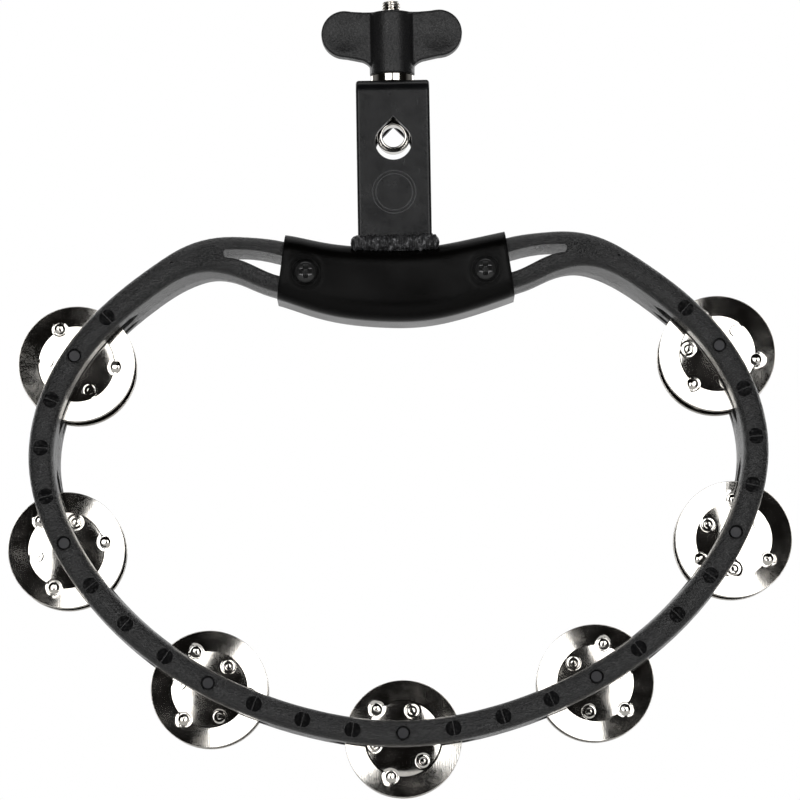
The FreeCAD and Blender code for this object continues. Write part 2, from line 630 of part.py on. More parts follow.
def jingle_turn(number, row, facing):
    """How far a disc happens to have turned on its pin, in degrees."""
    turn = FRONT_DISC_TURN[number - 1]
    if row > 0:
        turn += REAR_ROW_TURN
    if facing > 0:
        turn += SECOND_DISC_TURN + TURN_PER_STATION * number
    return turn


def make_jingle(blank, number, row, facing):
    """A disc hung on its pin. row -1 is the front slot; facing -1 is the disc whose cup faces forward."""
    x, z = STATIONS[number - 1]
    disc = blank.copy()
    disc.rotate(Vector(0, 0, 0), Vector(0, 1, 0), -jingle_turn(number, row, facing))
    if facing > 0:
        disc.rotate(Vector(0, 0, 0), Vector(1, 0, 0), 180)
    slot_middle = row * (SLOT_FRONT + SLOT_BACK) / 2
    disc.translate(Vector(x, slot_middle + facing * PAIR_GAP / 2, z - HANG))
    return disc


def make_pin(x, z):
    """Straight pin with a flat head in each recess; it turns freely in the frame and carries four discs."""
    axis = Vector(0, 1, 0)
    seat = HALF_DEPTH - PIN_RECESS_DEPTH + SEAT_GAP
    pin = Part.makeCylinder(PIN_RADIUS, 2 * seat, Vector(x, -seat, z), axis)
    for side in (-1, 1):
        head = Part.makeCylinder(PIN_HEAD_RADIUS, PIN_HEAD_THICKNESS, Vector(x, side * seat, z), axis * side)
        outer = side * (seat + PIN_HEAD_THICKNESS)
        head = head.makeFillet(PIN_HEAD_ROUNDING, [outer_rim(head, outer)])
        pin = pin.fuse(head)
    return pin


def save(name, shape):
    shape.exportStep("parts/" + name + ".step")


def main():
    os.makedirs("parts", exist_ok=True)
    front, rear = make_frame_halves()
    save("frame_front_half", front)
    save("frame_rear_half", rear)
    save("handle_sleeve", make_sleeve())
    save("handle_screws", make_screws())
    bracket = make_bracket()
    save("clamp_bracket", bracket)
    save("weld_beads", make_weld_beads(bracket))
    save("eye_bolt", make_eye_bolt())
    save("clamp_washer", make_washer())
    insert = make_nut_insert()
    save("wing_nut_insert", insert)
    save("wing_nut", make_wing_nut(insert))
    blank = jingle_blank()
    for number, (x, z) in enumerate(STATIONS, start=1):
        save("jingle_pin_%d" % number, make_pin(x, z))
        for row, row_name in ((-1, "front"), (1, "rear")):
            for facing, side in ((-1, "a"), (1, "b")):
                disc = make_jingle(blank, number, row, facing)
                save("jingle_%d_%s_%s" % (number, row_name, side), disc)


main()
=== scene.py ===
import json
import math

import bmesh
import bpy
import numpy as np
from mathutils import Matrix, Vector, noise


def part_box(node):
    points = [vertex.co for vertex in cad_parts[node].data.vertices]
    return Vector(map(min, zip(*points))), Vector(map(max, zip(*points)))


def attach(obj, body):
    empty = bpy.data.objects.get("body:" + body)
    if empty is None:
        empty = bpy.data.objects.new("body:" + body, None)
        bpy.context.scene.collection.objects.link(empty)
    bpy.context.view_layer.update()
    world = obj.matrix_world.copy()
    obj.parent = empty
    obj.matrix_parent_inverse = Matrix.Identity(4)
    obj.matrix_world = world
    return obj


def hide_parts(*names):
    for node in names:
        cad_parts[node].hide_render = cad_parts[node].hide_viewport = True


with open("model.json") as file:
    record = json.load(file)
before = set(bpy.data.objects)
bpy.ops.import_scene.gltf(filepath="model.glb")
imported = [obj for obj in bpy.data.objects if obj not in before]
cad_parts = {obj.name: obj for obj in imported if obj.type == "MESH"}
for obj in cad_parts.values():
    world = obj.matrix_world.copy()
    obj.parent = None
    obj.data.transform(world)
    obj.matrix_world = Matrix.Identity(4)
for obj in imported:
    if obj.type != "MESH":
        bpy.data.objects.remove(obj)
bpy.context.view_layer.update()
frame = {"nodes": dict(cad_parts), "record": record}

NODES = frame["nodes"]
MM = 0.001
FULL_TURN = 2 * math.pi


# ---- Mesh helpers ---------------------------------------------------------------------------------------------

def add_object(name, mesh):
    obj = bpy.data.objects.new(name, mesh)
    bpy.context.scene.collection.objects.link(obj)
    return obj


def shade_smooth(mesh, angle=None):
    mesh.polygons.foreach_set("use_smooth", [True] * len(mesh.polygons))
    if angle is not None:
        mesh.set_sharp_from_angle(angle=math.radians(angle))


def grid_mesh(name, points, close_rows=False, close_columns=False, cap_ends=False):
    """A mesh from an array of points, rows x columns x 3, closed round either way if asked."""
    rows, columns, _ = points.shape
    index = np.arange(rows * columns).reshape(rows, columns)
    down = np.vstack([index, index[:1]]) if close_rows else index
    both = np.hstack([down, down[:, :1]]) if close_columns else down
    quads = np.stack([both[:-1, :-1], both[1:, :-1], both[1:, 1:], both[:-1, 1:]], axis=-1).reshape(-1, 4)
    faces = quads.tolist()
    if cap_ends:
        faces.append(index[0].tolist())
        faces.append(index[-1][::-1].tolist())
    mesh = bpy.data.meshes.new(name)
    mesh.from_pydata(points.reshape(-1, 3).tolist(), [], faces)
    mesh.validate()
    outward(mesh)
    shade_smooth(mesh)
    return mesh


def outward(mesh):
    """Turn every face of a closed mesh outwards."""
    bm = bmesh.new()
    bm.from_mesh(mesh)
    bmesh.ops.recalc_face_normals(bm, faces=bm.faces)
    bm.to_mesh(mesh)
    bm.free()


def lathe(name, profile, axis_point, axis, sides=64):
    """A solid of revolution: profile is (radius, height) pairs along axis, from end to end."""
    axis = Vector(axis).normalized()
    side = axis.orthogonal().normalized()
    other = axis.cross(side)
    angles = np.linspace(0, FULL_TURN, sides, endpoint=False)
    around = np.outer(np.cos(angles), side) + np.outer(np.sin(angles), other)
    points = [np.array(axis_point) + np.array(axis) * h + around * r for r, h in profile]
    return grid_mesh(name, np.array(points), close_columns=True, cap_ends=True)


def apply_modifiers(obj):
    """Bake an object's modifiers into its mesh."""
    graph = bpy.context.evaluated_depsgraph_get()
    graph.update()
    baked = bpy.data.meshes.new_from_object(obj.evaluated_get(graph))
    obj.modifiers.clear()
    old = obj.data
    obj.data = baked
    bpy.data.meshes.remove(old)


def join_mesh(obj, mesh):
    """Add another closed mesh to an object's mesh."""
    bm = bmesh.new()
    bm.from_mesh(obj.data)
    bm.from_mesh(mesh)
    bm.to_mesh(obj.data)
    bm.free()
    bpy.data.meshes.remove(mesh)
    shade_smooth(obj.data, 40)


def weld_vertices(mesh):
    """Join vertices that lie in the same place."""
    bm = bmesh.new()
    bm.from_mesh(mesh)
    bmesh.ops.remove_doubles(bm, verts=bm.verts, dist=1e-6)
    bm.to_mesh(mesh)
    bm.free()


# ---- Materials ------------------------------------------------------------------------------------------------

def new_material(name):
    """An empty material with a principled shader: the material, its node tree and the shader."""
    material = bpy.data.materials.new(name)
    material.use_nodes = True
    nodes = material.node_tree.nodes
    nodes.clear()
    output = nodes.new("ShaderNodeOutputMaterial")
    shader = nodes.new("ShaderNodeBsdfPrincipled")
    material.node_tree.links.new(shader.outputs["BSDF"], output.inputs["Surface"])
    return material, material.node_tree, shader


def object_coordinates(tree):
    return tree.nodes.new("ShaderNodeTexCoord").outputs["Object"]


def noise_value(tree, vector, scale, detail=3.0, roughness=0.55):
    """Noise with the given number of features per metre."""
    node = tree.nodes.new("ShaderNodeTexNoise")
    node.inputs["Scale"].default_value = scale
    node.inputs["Detail"].default_value = detail
    node.inputs["Roughness"].default_value = roughness
    tree.links.new(vector, node.inputs["Vector"])
    return node.outputs["Fac"]


def ramp(tree, value, low, high, to_low=0.0, to_high=1.0):
    """Map low..high of a value to to_low..to_high, clamped."""
    node = tree.nodes.new("ShaderNodeMapRange")
    node.clamp = True
    node.inputs["From Min"].default_value = low
    node.inputs["From Max"].default_value = high
    node.inputs["To Min"].default_value = to_low
    node.inputs["To Max"].default_value = to_high
    tree.links.new(value, node.inputs["Value"])
    return node.outputs["Result"]


def mix_colour(tree, factor, first, second):
    """Blend two colours, first where the factor is 0; each is an (r, g, b) or another node's colour."""
    node = tree.nodes.new("ShaderNodeMix")
    node.data_type = "RGBA"
    for socket, colour in ((node.inputs["A"], first), (node.inputs["B"], second)):
        if isinstance(colour, tuple):
            socket.default_value = (*colour, 1.0)
        else:
            tree.links.new(colour, socket)
    tree.links.new(factor, node.inputs["Factor"])
    return node.outputs["Result"]


def combine(tree, operation, first, second):
    """A math node; each operand is a float or another node's value."""
    node = tree.nodes.new("ShaderNodeMath")
    node.operation = operation
    for socket, value in zip(node.inputs, (first, second)):
        if isinstance(value, float):
            socket.default_value = value
        else:
            tree.links.new(value, socket)
    return node.outputs["Value"]


def bump(tree, height, distance, strength=1.0, below=None):
    """Bump with its height in metres; below is an earlier bump's normal to add to."""
    node = tree.nodes.new("ShaderNodeBump")
    node.inputs["Strength"].default_value = strength
    node.inputs["Distance"].default_value = distance
    tree.links.new(height, node.inputs["Height"])
    if below is not None:
        tree.links.new(below, node.inputs["Normal"])
    return node.outputs["Normal"]


def edge_mask(tree, radius, low=0.02, high=0.25):
    """1 on sharp outer edges, 0 on flat faces."""
    rounded = tree.nodes.new("ShaderNodeBevel")
    rounded.samples = 6
    rounded.inputs["Radius"].default_value = radius
    geometry = tree.nodes.new("ShaderNodeNewGeometry")
    dot = tree.nodes.new("ShaderNodeVectorMath")
    dot.operation = "DOT_PRODUCT"
    tree.links.new(rounded.outputs["Normal"], dot.inputs[0])
    tree.links.new(geometry.outputs["Normal"], dot.inputs[1])
    turned = combine(tree, "SUBTRACT", 1.0, dot.outputs["Value"])
    return ramp(tree, turned, low, high)


def soft_normal(tree, radius):
    """The surface normal, averaged over neighbouring faces: it rounds off moulded edges."""
    node = tree.nodes.new("ShaderNodeBevel")
    node.samples = 4
    node.inputs["Radius"].default_value = radius
    return node.outputs["Normal"]


def grained_plastic(name, colour, worn, grain_scale, grain_depth, roughness, shine, rounding, sunk=None):
    """Moulded black plastic: spark-eroded grain and faint rubbed patches.

    rounding is the radius over which edges are shaded soft. sunk gives the distances from the middle plane, low to
    high, between which flat sinks facing front or rear stay free of grain. All are in metres.
    """
    material, tree, shader = new_material(name)
    where = object_coordinates(tree)
    grain = noise_value(tree, where, grain_scale, 2.0, 0.6)
    fine = noise_value(tree, where, grain_scale * 2.3, 1.0, 0.5)
    patches = noise_value(tree, where, 55.0, 4.0, 0.6)
    rub = combine(tree, "MULTIPLY", ramp(tree, patches, 0.5, 0.72), ramp(tree, grain, 0.45, 0.75))
    tree.links.new(mix_colour(tree, rub, colour, worn), shader.inputs["Base Color"])
    tree.links.new(ramp(tree, patches, 0.3, 0.7, roughness - 0.05, roughness + 0.07), shader.inputs["Roughness"])
    height = combine(tree, "ADD", grain, combine(tree, "MULTIPLY", fine, 0.5))
    gloss = ramp(tree, grain, 0.3, 0.7, shine * 0.55, shine * 1.3)
    if sunk:
        plain = flat_sink(tree, where, *sunk)
        height = combine(tree, "MULTIPLY", height, combine(tree, "SUBTRACT", 1.0, plain))
        gloss = combine(tree, "SUBTRACT", gloss, combine(tree, "MULTIPLY", plain, shine * 0.95))
    tree.links.new(bump(tree, height, grain_depth, below=soft_normal(tree, rounding)), shader.inputs["Normal"])
    tree.links.new(gloss, shader.inputs["Specular IOR Level"])
    return material


def flat_sink(tree, where, low, high):
    """1 on faces square to Y whose distance from the middle plane lies between low and high."""
    place = tree.nodes.new("ShaderNodeSeparateXYZ")
    tree.links.new(where, place.inputs["Vector"])
    facing = tree.nodes.new("ShaderNodeSeparateXYZ")
    tree.links.new(tree.nodes.new("ShaderNodeNewGeometry").outputs["True Normal"], facing.inputs["Vector"])
    depth = combine(tree, "ABSOLUTE", place.outputs["Y"], 0.0)
    square = ramp(tree, combine(tree, "ABSOLUTE", facing.outputs["Y"], 0.0), 0.985, 0.995)
    above = combine(tree, "GREATER_THAN", depth, low)
    below = combine(tree, "LESS_THAN", depth, high)
    return combine(tree, "MULTIPLY", combine(tree, "MULTIPLY", above, below), square)


def satin_coat(name, colour, roughness):
    """Smooth satin paint over steel: faint orange peel, fine dust and soft handling marks."""
    material, tree, shader = new_material(name)
    where = object_coordinates(tree)
    peel = noise_value(tree, where, 420.0, 2.0)
    dust = noise_value(tree, where, 3600.0, 1.0)
    smears = noise_value(tree, where, 38.0, 3.0, 0.5)
    speck = ramp(tree, dust, 0.74, 0.8)
    edge = edge_mask(tree, 0.0004)
    bare = combine(tree, "MAXIMUM", combine(tree, "MULTIPLY", speck, 0.15), combine(tree, "MULTIPLY", edge, 0.5))
    lighter = tuple(min(1.0, c * 5 + 0.04) for c in colour)
    tree.links.new(mix_colour(tree, bare, colour, lighter), shader.inputs["Base Color"])
    tree.links.new(ramp(tree, smears, 0.3, 0.7, roughness - 0.04, roughness + 0.06), shader.inputs["Roughness"])
    normal = bump(tree, peel, 0.00004, 0.5, soft_normal(tree, 0.004))
    tree.links.new(bump(tree, dust, 0.00001, 0.4, normal), shader.inputs["Normal"])
    shader.inputs["Specular IOR Level"].default_value = 0.14
    return material


def powder_coat(name, colour, roughness):
    """Fine-textured charcoal powder coat, rubbed pale along bare edges, with a few hairline scuffs."""
    material, tree, shader = new_material(name)
    where = object_coordinates(tree)
    texture = noise_value(tree, where, 1500.0, 2.0, 0.6)
    mottle = noise_value(tree, where, 160.0, 3.0)
    stretch = tree.nodes.new("ShaderNodeMapping")
    stretch.inputs["Scale"].default_value = (1.0, 1.0, 0.16)
    stretch.inputs["Rotation"].default_value = (0.0, 0.35, 0.0)
    tree.links.new(where, stretch.inputs["Vector"])
    scuff = ramp(tree, noise_value(tree, stretch.outputs["Vector"], 900.0, 1.0), 0.73, 0.8)
    edge = edge_mask(tree, 0.0007, 0.008, 0.16)
    worn = combine(tree, "MAXIMUM", edge, combine(tree, "MULTIPLY", scuff, 0.25))
    pale = tuple(c * 4.5 + 0.07 for c in colour)
    tree.links.new(mix_colour(tree, worn, colour, pale), shader.inputs["Base Color"])
    tree.links.new(ramp(tree, mottle, 0.3, 0.7, roughness - 0.06, roughness + 0.06), shader.inputs["Roughness"])
    tree.links.new(bump(tree, texture, 0.00006, 0.8), shader.inputs["Normal"])
    shader.inputs["Specular IOR Level"].default_value = 0.31
    return material


def bright_metal(name, colour, shadow, roughness, scratches):
    """Nickel plate: slight warm tarnish in patches, hairline scratches of the given depth and finger smears."""
    material, tree, shader = new_material(name)
    where = object_coordinates(tree)
    tarnish = noise_value(tree, where, 130.0, 4.0, 0.6)
    hair = tree.nodes.new("ShaderNodeMapping")
    hair.inputs["Scale"].default_value = (1.0, 1.0, 0.06)
    hair.inputs["Rotation"].default_value = (0.0, 0.9, 0.0)
    tree.links.new(where, hair.inputs["Vector"])
    lines = noise_value(tree, hair.outputs["Vector"], 2600.0, 2.0)
    shader.inputs["Metallic"].default_value = 1.0
    tree.links.new(mix_colour(tree, ramp(tree, tarnish, 0.45, 0.8), colour, shadow), shader.inputs["Base Color"])
    tree.links.new(ramp(tree, tarnish, 0.3, 0.75, roughness, roughness + 0.075), shader.inputs["Roughness"])
    tree.links.new(bump(tree, lines, scratches, 0.25), shader.inputs["Normal"])
    return material


def weld_metal(name):
    """Coated weld: lumpy and dull, with painted glints: lighter grey, partly metallic patches on its ripples."""
    material, tree, shader = new_material(name)
    where = object_coordinates(tree)
    lumps = noise_value(tree, where, 700.0, 4.0, 0.7)
    # Painted glints: on the high lumps the base colour turns lighter grey, and these patches are also made partly
    # metallic and smoother.
    painted_glint = ramp(tree, lumps, 0.52, 0.68)
    tree.links.new(mix_colour(tree, painted_glint, (0.012, 0.012, 0.013), (0.2, 0.2, 0.21)), shader.inputs["Base Color"])
    tree.links.new(ramp(tree, lumps, 0.3, 0.7, 0.6, 0.3), shader.inputs["Roughness"])
    tree.links.new(combine(tree, "MULTIPLY", painted_glint, 0.6), shader.inputs["Metallic"])
    tree.links.new(bump(tree, lumps, 0.0004, 0.8), shader.inputs["Normal"])
    return material


def dark_steel(name, colour, roughness, metallic):
    """Blackened or zinc-plated steel with fine turning marks and worn high spots."""
    material, tree, shader = new_material(name)
    where = object_coordinates(tree)
    marks = noise_value(tree, where, 2200.0, 2.0)
    patches = noise_value(tree, where, 260.0, 3.0)
    edge = edge_mask(tree, 0.0003)
    pale = tuple(min(1.0, c * 4 + 0.05) for c in colour)
    tree.links.new(mix_colour(tree, combine(tree, "MULTIPLY", edge, 0.6), colour, pale), shader.inputs["Base Color"])
    tree.links.new(ramp(tree, patches, 0.3, 0.7, roughness - 0.06, roughness + 0.1), shader.inputs["Roughness"])
    shader.inputs["Metallic"].default_value = metallic
    tree.links.new(bump(tree, marks, 0.00002, 0.4), shader.inputs["Normal"])
    return material


def make_materials():
    """One material for each of the record's slots. Lengths are in metres, grain in features per metre."""
    return {
        "frame_plastic": grained_plastic(
            "frame_plastic", (0.006, 0.006, 0.0063), (0.018, 0.018, 0.019), grain_scale=1300.0, grain_depth=0.00055,
            roughness=0.22, shine=0.7, rounding=0.0022, sunk=(0.02355, 0.02375)),
        "wing_plastic": grained_plastic(
            "wing_plastic", (0.012, 0.012, 0.0125), (0.03, 0.03, 0.031), grain_scale=1500.0, grain_depth=0.00014,
            roughness=0.3, shine=0.36, rounding=0.0006),
        "sleeve_steel": satin_coat("sleeve_steel", (0.0015, 0.0014, 0.0013), roughness=0.2),
        "bracket_steel": powder_coat("bracket_steel", (0.005, 0.0052, 0.0058), roughness=0.22),
        "weld_steel": weld_metal("weld_steel"),
        "black_screw": dark_steel("black_screw", (0.05, 0.05, 0.05), roughness=0.13, metallic=0.6),
        "bright_nickel": bright_metal(
            "bright_nickel", (0.78, 0.75, 0.7), (0.6, 0.56, 0.5), roughness=0.05, scratches=0.00002),
        "jingle_nickel": bright_metal(
            "jingle_nickel", (0.82, 0.795, 0.75), (0.7, 0.65, 0.58), roughness=0.04, scratches=0.000012),
        "pin_steel": dark_steel("pin_steel", (0.03, 0.03, 0.032), roughness=0.35, metallic=0.7),
        "insert_steel": dark_steel("insert_steel", (0.5, 0.49, 0.46), roughness=0.3, metallic=1.0),
    }


MATERIALS = make_materials()


def finish_as(obj, slot):
    """Give a new piece the material of the given record slot."""
    obj.data.materials.clear()
    obj.data.materials.append(MATERIALS[slot])


def dress_cad_nodes():
    """Every carried-over CAD node gets the finish of its material slot."""
    for part in frame["record"]["subparts"]:
        obj = NODES[part["node"]]
        obj.data.materials.clear()
        obj.data.materials.append(MATERIALS[part["material_slot"]])


# ---- Jingles --------------------------------------------------------------------------------------------------

# Millimetres, and degrees
DISC_RADIUS = 25.0
DISC_SHEET = 0.6
HOLE_RADIUS = 3.2
CUP_TOP = 4.2            # radius of the flat round the hole
CUP_EDGE = 16.3          # radius where the raised middle meets the brim
CUP_HEIGHT = 0.62
BRIM_HEIGHT = 0.8
PRESSINGS = 3            # pips on the disc, and plain stamps between them
PIP_CIRCLE = 16.9
STAMP_CIRCLE = 12.7
PRESSED_BAND = (9.5, 19.6)    # radii between which the pips and stamps lie
PIP_RADIUS = 2.15
PIP_HEIGHT = 0.85
# Ring grooves: radius, width, depth
PIP_GROOVE = (2.6, 0.35, 0.16)
STAMP_GROOVES = ((2.9, 0.28, 0.09), (1.2, 0.28, 0.07))
FRONT_DISC_TURN = (115, 11, 109, 131, 77, 89, 110)
REAR_ROW_TURN = 47
SECOND_DISC_TURN = 31
TURN_PER_STATION = 13
PAIR_LEAN = ((1.1, 0.2), (1.2, 0.4), (-0.6, 0.3), (0.0, -0.3), (0.7, 0.4), (0.6, 0.0), (-1.4, 0.3))
PAIR_GAP = 0.9 * MM
SLOT_MIDDLE = 8.35 * MM


def groove(away, radius, width, depth):
    """Depth of a round-bottomed ring groove, at given distances from its centre."""
    return depth * np.exp(-((away - radius) / width) ** 2)


def jingle_surface(radius, angle):
    """Height of a disc's outer face above its cup edge, in millimetres, for arrays of polar positions."""
    inner = np.clip((radius - CUP_TOP) / (CUP_EDGE - CUP_TOP), 0, 1)
    brim = BRIM_HEIGHT * np.clip((radius - CUP_EDGE) / (DISC_RADIUS - CUP_EDGE), 0, 1)
    height = CUP_HEIGHT * (1 - inner ** 2) + brim
    x, z = radius * np.cos(angle), radius * np.sin(angle)
    for i in range(PRESSINGS):
        turn = FULL_TURN * i / PRESSINGS
        away = np.hypot(x - PIP_CIRCLE * math.cos(turn), z - PIP_CIRCLE * math.sin(turn))
        height += PIP_HEIGHT * np.sqrt(np.clip(1 - (away / PIP_RADIUS) ** 2, 0, 1))
        height -= groove(away, *PIP_GROOVE)
        turn += FULL_TURN / (2 * PRESSINGS)
        away = np.hypot(x - STAMP_CIRCLE * math.cos(turn), z - STAMP_CIRCLE * math.sin(turn))
        for ring in STAMP_GROOVES:
            height -= groove(away, *ring)
    return height


def jingle_points(around=192):
    """Points of a disc about the Y axis, rows running from hole to rim over the face and back under it.

    The rows are closest together over the pips and stamps, and the last ones leave a bevel at the rim. The underside
    is flattened where a groove would dip towards the other disc of the pair.
    """
    radii = np.concatenate([
        np.linspace(HOLE_RADIUS, PRESSED_BAND[0], 7, endpoint=False),
        np.linspace(*PRESSED_BAND, 30, endpoint=False),
        np.linspace(PRESSED_BAND[1], DISC_RADIUS - 0.4, 6),
        (DISC_RADIUS - 0.25, DISC_RADIUS - 0.15),
    ])
    angles = np.linspace(0, FULL_TURN, around, endpoint=False)
    radius, angle = np.meshgrid(radii, angles, indexing="ij")
    height = jingle_surface(radius, angle)
    face = np.stack([radius * np.cos(angle), -(height + DISC_SHEET), radius * np.sin(angle)], axis=-1)
    under = np.stack([radius * np.cos(angle), -np.maximum(height, 0), radius * np.sin(angle)], axis=-1)
    rim_height = height[-1] + DISC_SHEET / 2
    rim = np.stack([DISC_RADIUS * np.cos(angles), -rim_height, DISC_RADIUS * np.sin(angles)], axis=-1)[None]
    return np.concatenate([face, rim, under[::-1]]) * MM


def box_middle(node):
    """Middle of a CAD node's box, in metres."""
    low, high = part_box(node)
    return (Vector(low) + Vector(high)) / 2


def rotation_xz(points, turn):
    """Turn points about the Y axis, anticlockwise as seen from the front."""
    c, s = math.cos(turn), math.sin(turn)
    x, z = points[..., 0].copy(), points[..., 2].copy()
    points[..., 0] = x * c - z * s
    points[..., 2] = x * s + z * c
    return points


def lean(points, right, up):
    """Tip a pair of discs so that their front faces a little to the right and up, in degrees."""
    turned = Matrix.Rotation(math.radians(right), 3, "Z") @ Matrix.Rotation(math.radians(-up), 3, "X")
    return points @ np.array(turned).T


def jingle_turn(number, row, facing):
    """How far a disc happens to have turned on its pin, in degrees."""
    turn = FRONT_DISC_TURN[number - 1]
    if row > 0:
        turn += REAR_ROW_TURN
    if facing > 0:
        turn += SECOND_DISC_TURN + TURN_PER_STATION * number
    return turn


def make_jingle(blank, number, row, facing, place):
    """One pressed disc. row -1 is the front slot; facing -1 is the disc whose cup faces forward."""
    points = rotation_xz(blank.copy(), math.radians(jingle_turn(number, row, facing)))
    if facing > 0:
        points[..., 1] *= -1
        points[..., 2] *= -1
    points[..., 1] += facing * PAIR_GAP / 2
    points = lean(points, *PAIR_LEAN[number - 1])
    node = "jingle_" + place
    middle = box_middle(node)
    points += np.array([middle.x, row * SLOT_MIDDLE, middle.z])
    disc = add_object("disc_" + place, grid_mesh(node + "_mesh", points, close_rows=True, close_columns=True))
    finish_as(disc, "jingle_nickel")
    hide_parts(node)
    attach(disc, node)


def make_jingles():
    """Four pressed discs at each station, each on its own body."""
    blank = jingle_points()
    for number in range(1, len(FRONT_DISC_TURN) + 1):
        for row, row_name in ((-1, "front"), (1, "rear")):
            for facing, side in ((-1, "a"), (1, "b")):
                make_jingle(blank, number, row, facing, "%d_%s_%s" % (number, row_name, side))


# ---- Clamp ----------------------------------------------------------------------------------------------------

def rounded_section(inner, outer, half_width, rounding, steps=6):
    """Closed cross-section of a flat ring, (radius, offset) pairs, corners rounded."""
    corners = [
        (outer - rounding, half_width - rounding, 0),
        (outer - rounding, -half_width + rounding, 270),
        (inner + rounding, -half_width + rounding, 180),
        (inner + rounding, half_width - rounding, 90),
    ]
    section = []
    for r, h, start in corners:
        for i in range(steps + 1):
            a = math.radians(start + 90 - 90 * i / steps)
            section.append((r + rounding * math.cos(a), h + rounding * math.sin(a)))
    return section


# Millimetres
EYE_BORE = 4.85
EYE_OUTER = 7.05
EYE_HALF_WIDTH = 4.0
EYE_ROUNDING = 0.5
EYE_SIDES = 72
THREAD_PITCH = 1.25
THREAD_CREST = 3.98
THREAD_DEPTH = 0.62
THREAD_FLANK = 1.35      # steepness of the flanks; above 1 the crests get flats
THREAD_START = 8.5
THREAD_RUN_IN = 1.5
SHANK_LOW = 6.0
TIP_LENGTH = 0.8
TIP_SLOPE = 0.8
SHANK_SIDES = 48
SHANK_ROWS = 400


def shank_rows(low, high):
    """Rows of points up a threaded shank, in millimetres."""
    around = np.linspace(0, FULL_TURN, SHANK_SIDES, endpoint=False)
    rows = []
    for h in np.linspace(low, high, SHANK_ROWS):
        phase = (h / THREAD_PITCH - around / FULL_TURN) % 1.0
        root = np.clip(1.25 - 2.5 * np.abs(phase - 0.5) * THREAD_FLANK, 0, 1)
        fade = min(1.0, max(0.0, (h - THREAD_START) / THREAD_RUN_IN))
        tip = max(0.0, h - (high - TIP_LENGTH))
        radius = THREAD_CREST - THREAD_DEPTH * root * fade - tip * TIP_SLOPE
        rows.append(np.stack([radius * np.cos(around), radius * np.sin(around), np.full(SHANK_SIDES, h)], axis=-1))
    return np.array(rows)


def make_eye_bolt():
    """Eye with rounded edges, and a shank with a real coarse thread."""
    section = rounded_section(EYE_BORE, EYE_OUTER, EYE_HALF_WIDTH, EYE_ROUNDING)
    angles = np.linspace(0, FULL_TURN, EYE_SIDES, endpoint=False)
    ring = np.array([[[r * math.cos(a), h, r * math.sin(a)] for a in angles] for r, h in section])
    eye = add_object("eye_bolt_piece", grid_mesh("eye", ring * MM, close_rows=True, close_columns=True))
    rows = shank_rows(SHANK_LOW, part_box("eye_bolt")[1][2] / MM)
    shank = grid_mesh("shank", rows * MM, close_columns=True, cap_ends=True)
    join_mesh(eye, shank)
    finish_as(eye, "bright_nickel")
    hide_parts("eye_bolt")
    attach(eye, "eye_bolt")


# Millimetres
BEAD_HEIGHT = -48.5
BEAD_HALF_LENGTH = 19.2
BEAD_RADIUS = 3.1
BEAD_ROWS = 150
BEAD_SIDES = 40
LEG_FACE = 15.0          # distance of the bracket's outer faces from the middle plane


def bead_points(side, seed):
    """A hand-laid weld bead along X: overlapping ripples, uneven width, rounded ends."""
    angles = np.linspace(0, FULL_TURN, BEAD_SIDES, endpoint=False)
    points = np.zeros((BEAD_ROWS, BEAD_SIDES, 3))
    for i, t in enumerate(np.linspace(-1, 1, BEAD_ROWS)):
        x = BEAD_HALF_LENGTH * t
        end = math.sqrt(max(0.0, 1 - max(0.0, (abs(x) - BEAD_HALF_LENGTH + BEAD_RADIUS) / BEAD_RADIUS) ** 2))
        ripple = 1 + 0.07 * math.sin(x * 3.6 + 1.3 * math.sin(x * 0.7 + seed))
        for j, a in enumerate(angles):
            lump = noise.noise(Vector((x * 0.5, 3 * math.cos(a) * 0.4, 3 * math.sin(a) * 0.4 + seed))) * 0.32
            fine = noise.noise(Vector((x * 1.6, 5 * math.cos(a), 5 * math.sin(a) + seed))) * 0.09
            r = max(0.02, BEAD_RADIUS * end * (ripple + lump + fine))
            points[i, j] = (x, side * LEG_FACE + r * math.cos(a), BEAD_HEIGHT + 1.1 * r * math.sin(a))
    return points * MM


def make_welds():
    """One bead in front of the bracket and one behind it."""
    front = add_object("weld_pair", grid_mesh("weld_front", bead_points(-1, 2.0), close_columns=True, cap_ends=True))
    rear = grid_mesh("weld_rear", bead_points(1, 9.0), close_columns=True, cap_ends=True)
    join_mesh(front, rear)
    shade_smooth(front.data)
    finish_as(front, "weld_steel")
    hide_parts("weld_beads")
    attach(front, "frame")


# Millimetres. The profile runs from the middle of the head over its rim and down the shank: radius, height
SCREW_PROFILE = (
    (0.02, 2.75), (1.5, 2.7), (2.9, 2.45), (3.9, 1.95), (4.5, 1.3), (4.85, 0.6), (4.9, 0.15), (4.85, -0.05),
    (2.4, -0.1), (2.4, -22.0), (0.02, -22.9))
SCREW_HEAD_RADIUS = 4.9
SCREW_HEAD_HEIGHT = 2.8
CROSS_DEPTH = 2.4
# Ends of the driver cross's taper: distance behind its middle, half length and half width of an arm
CROSS_TAPER = ((-1.5, 4.6, 1.5), (1.9, 1.3, 0.5))


def cross_cutter(x, y, z):
    """A tapered cross, to cut the driver recess in a screw head."""
    bm = bmesh.new()
    for turn in (0, 90):
        points = []
        for behind, half_long, half_wide in CROSS_TAPER:
            for along, wide in ((-1, -1), (1, -1), (1, 1), (-1, 1)):
                a, b = along * half_long, wide * half_wide
                if turn:
                    a, b = b, a
                points.append((x + a, y + behind, z + b))
        verts = [bm.verts.new(Vector(p) * MM) for p in points]
        for face in ((0, 1, 2, 3), (7, 6, 5, 4), (0, 4, 5, 1), (1, 5, 6, 2), (2, 6, 7, 3), (3, 7, 4, 0)):
            bm.faces.new([verts[i] for i in face])
    bmesh.ops.recalc_face_normals(bm, faces=bm.faces)
    mesh = bpy.data.meshes.new("cross")
    bm.to_mesh(mesh)
    bm.free()
    return mesh


